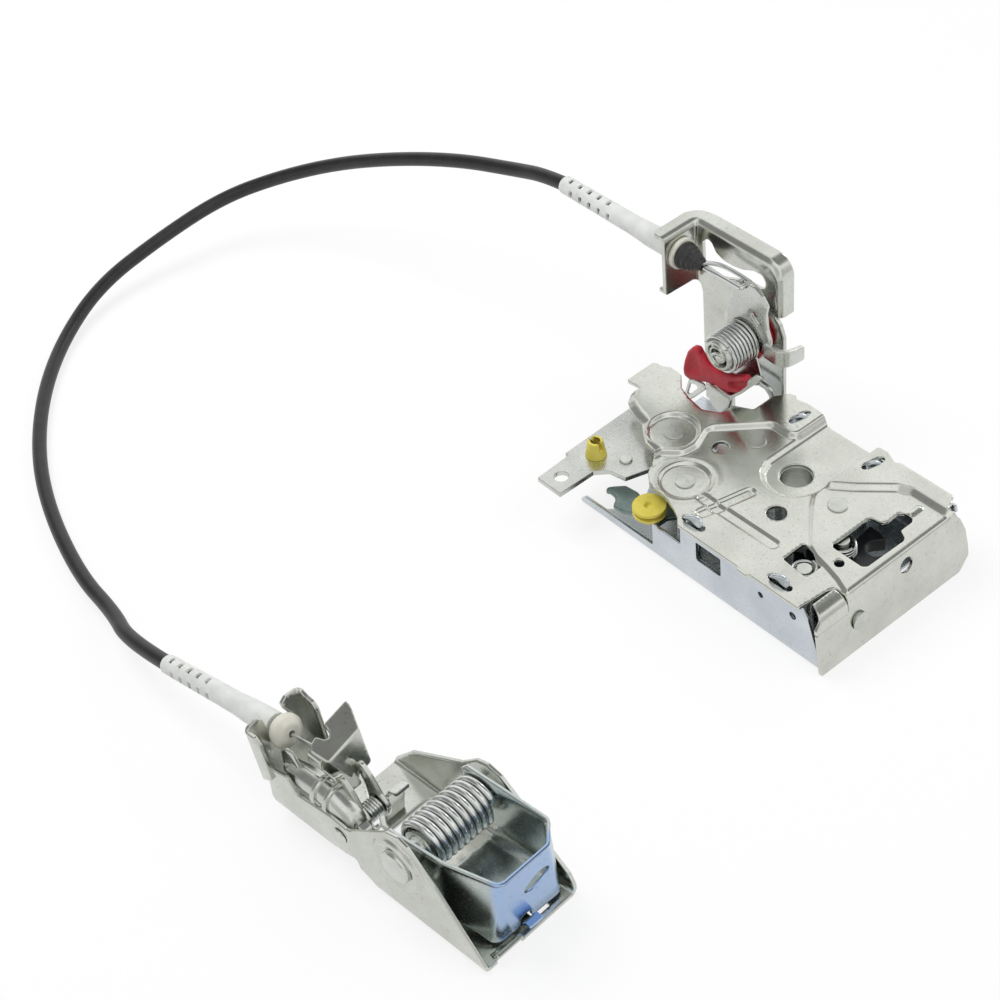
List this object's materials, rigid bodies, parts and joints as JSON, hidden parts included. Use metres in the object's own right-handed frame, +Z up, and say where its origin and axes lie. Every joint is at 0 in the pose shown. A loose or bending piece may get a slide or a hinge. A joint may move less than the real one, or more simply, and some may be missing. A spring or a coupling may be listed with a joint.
{
  "type": "door latch",
  "caption": "Sliding-door lock in a pressed steel case with an upright cable bracket, joined by a sheathed pull cable to a smaller spring-loaded catch.",
  "frame": {"origin": "on the underside of the lock's base plate, under the middle of its case", "axes": "+X along the lock from the cable bracket's end to the bent end flange, +Y from the walled near side to the bracket, +Z up through the cover"},
  "size_m": [0.5545, 0.3728, 0.123],
  "materials": {
    "zinc_steel": "bright zinc-plated pressed steel",
    "blue_zinc": "blue-passivated zinc-plated steel",
    "spring_steel": "bright drawn wire",
    "black_coating": "moulded coating over steel, satin",
    "yellow_plastic": "moulded, satin",
    "red_plastic": "moulded, satin",
    "black_rubber": "moulded, matte",
    "black_sheath": "extruded sheath, satin",
    "white_nylon": "moulded nylon, satin"
  },
  "bodies": {
    "case": {"base_housing": "zinc_steel", "bracket_barrel": "zinc_steel", "cable_bracket": "zinc_steel", "cable_plate": "zinc_steel", "catch_base": "zinc_steel", "catch_pin": "zinc_steel", "catch_spring": "spring_steel", "claw_spring": "spring_steel", "claw_stud": "zinc_steel", "conduit": "black_sheath", "cover_plate": "zinc_steel", "face_plug": "zinc_steel", "fixing_tube": "zinc_steel", "front_coil": "spring_steel", "lock_stud": "zinc_steel", "lower_ferrule": "white_nylon", "lower_strain_relief": "white_nylon", "pawl_spring": "spring_steel", "pawl_stud": "zinc_steel", "rear_coil": "spring_steel", "rear_collar": "red_plastic", "release_stud": "zinc_steel", "rubber_boot": "black_rubber", "spacer_stud": "zinc_steel", "transfer_stud": "zinc_steel", "trigger_pin": "zinc_steel", "trigger_spring": "spring_steel", "upper_ferrule": "white_nylon", "upper_strain_relief": "white_nylon"},
    "claw": {"claw": "black_coating"},
    "pawl": {"pawl": "black_coating"},
    "pawl_link": {"pawl_link": "zinc_steel"},
    "transfer_lever": {"transfer_lever": "zinc_steel"},
    "release_lever": {"release_lever": "zinc_steel", "rod_clip": "yellow_plastic", "lever_rivet": "zinc_steel"},
    "lock_lever": {"lock_lever": "zinc_steel", "lock_knob": "yellow_plastic"},
    "cable_lever": {"cable_lever": "zinc_steel"},
    "upper_wire": {"upper_wire": "spring_steel"},
    "rocker": {"red_rocker": "red_plastic", "rocker_carrier": "zinc_steel"},
    "lower_wire": {"lower_wire": "spring_steel"},
    "trigger": {"trigger_lever": "zinc_steel"},
    "holding_arm": {"holding_arm": "zinc_steel"},
    "cup": {"catch_cup": "blue_zinc"}
  },
  "joints": [
    {"name": "claw_turn", "type": "hinge", "parent": "case", "child": "claw", "pos_m": [0.0475, 0.0015, 0.023], "axis": [0, 0, 1], "range_deg": [-50, 0]},
    {"name": "release", "type": "hinge", "parent": "case", "child": "release_lever", "pos_m": [-0.0715, -0.0022, 0.0275], "axis": [0, 0, 1], "range_deg": [-14, 0], "stiffness_Nm_per_rad": 0.4, "springref_deg": 8.59},
    {"name": "transfer", "type": "hinge", "parent": "case", "child": "transfer_lever", "pos_m": [-0.0348, 0.0235, 0.02325], "axis": [0, 0, 1], "range_deg": [0, 7]},
    {"name": "link_slide", "type": "slide", "parent": "case", "child": "pawl_link", "axis": [1, 0, 0], "range_m": [0, 0.0038]},
    {"name": "pawl_turn", "type": "hinge", "parent": "case", "child": "pawl", "pos_m": [0.047, -0.0255, 0.0231], "axis": [0, 0, 1], "range_deg": [0, 18]},
    {"name": "lock_turn", "type": "hinge", "parent": "case", "child": "lock_lever", "pos_m": [-0.041, -0.0233, 0.01925], "axis": [0, 0, 1], "range_deg": [-18, 0]},
    {"name": "cable_pull", "type": "hinge", "parent": "case", "child": "cable_lever", "pos_m": [-0.07, 0.05225, 0.073], "axis": [0, 1, 0], "range_deg": [0, 12], "stiffness_Nm_per_rad": 0.6, "springref_deg": -8.59},
    {"name": "upper_wire_slide", "type": "slide", "parent": "case", "child": "upper_wire", "axis": [1, 0, 0], "range_m": [0, 0.0076]},
    {"name": "lower_wire_slide", "type": "slide", "parent": "case", "child": "lower_wire", "axis": [-0.9751, -0.0767, -0.2079], "range_m": [0, 0.0076]},
    {"name": "trigger_turn", "type": "hinge", "parent": "case", "child": "trigger", "pos_m": [0.0059, -0.27486, 0.024], "axis": [-0.0785, 0.9969, 0], "range_deg": [-13.3, 0]},
    {"name": "arm_turn", "type": "hinge", "parent": "case", "child": "holding_arm", "pos_m": [0.00676, -0.28582, 0.024], "axis": [-0.0785, 0.9969, 0], "range_deg": [-4.1, 0]},
    {"name": "rocker_turn", "type": "hinge", "parent": "case", "child": "rocker", "pos_m": [-0.07, 0.0475, 0.073], "axis": [0, 1, 0], "range_deg": [0, 5]},
    {"name": "cup_turn", "type": "hinge", "parent": "case", "child": "cup", "pos_m": [0.04587, -0.26017, 0.0364], "axis": [-0.0785, 0.9969, 0], "range_deg": [-45, 0]}
  ],
  "couplings": [
    {"joint": "transfer", "follows": "release", "ratio": -0.483},
    {"joint": "link_slide", "follows": "release", "m_per_rad": -0.0152},
    {"joint": "pawl_turn", "follows": "release", "ratio": -1.268},
    {"joint": "upper_wire_slide", "follows": "cable_pull", "m_per_rad": 0.0355},
    {"joint": "lower_wire_slide", "follows": "cable_pull", "m_per_rad": 0.0355},
    {"joint": "trigger_turn", "follows": "cable_pull", "ratio": -1.096},
    {"joint": "arm_turn", "follows": "cable_pull", "ratio": -0.33}
  ]
}
